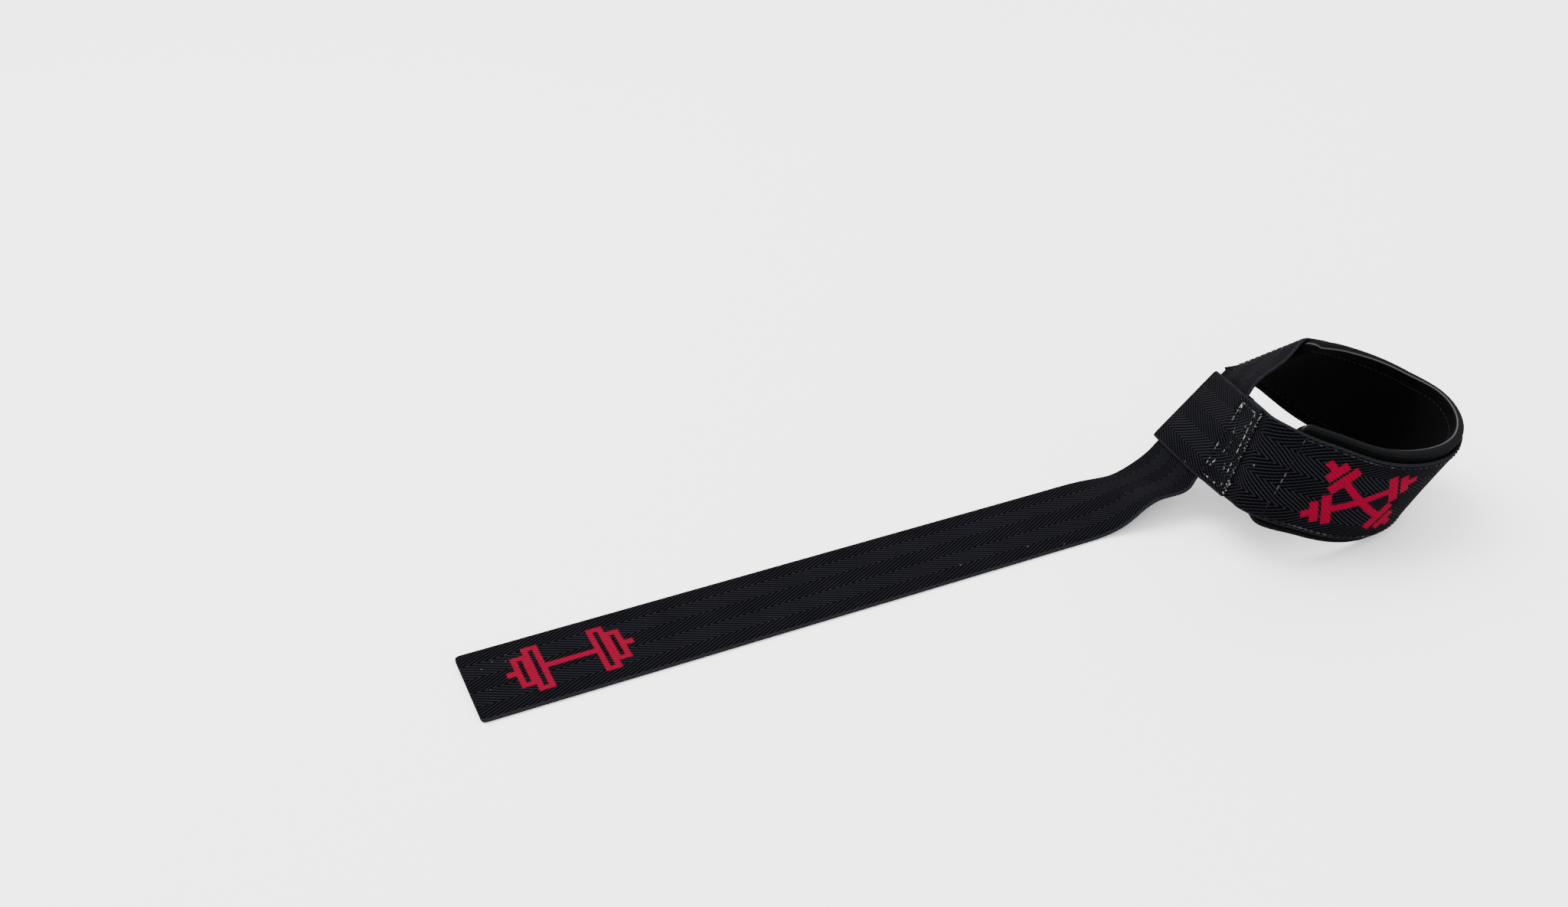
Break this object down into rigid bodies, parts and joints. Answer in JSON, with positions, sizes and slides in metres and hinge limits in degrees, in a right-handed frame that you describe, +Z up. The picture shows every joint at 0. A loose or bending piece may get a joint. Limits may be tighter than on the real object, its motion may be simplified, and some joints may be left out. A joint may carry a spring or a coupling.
{
  "type": "weightlifting strap",
  "caption": "Webbing lifting strap with a long flat tail, its own sewn keeper loop and a padded wrist cuff, lying on its side with the tail threaded through.",
  "frame": {"origin": "middle of the bounding box, on the surface that the strap lies on", "axes": "+X runs along the flat tail from its free end to the wrist loop, +Z is up from the surface, +Y completes the frame"},
  "size_m": [0.4078, 0.0954, 0.0671],
  "materials": {
    "webbing": "matte herringbone webbing, near black, with a red print and pale stitches",
    "pad": "matte black neoprene foam faced with knitted cloth"
  },
  "bodies": {
    "root": {"webbing_strap": "webbing", "wrist_pad": "pad"}
  },
  "joints": []
}
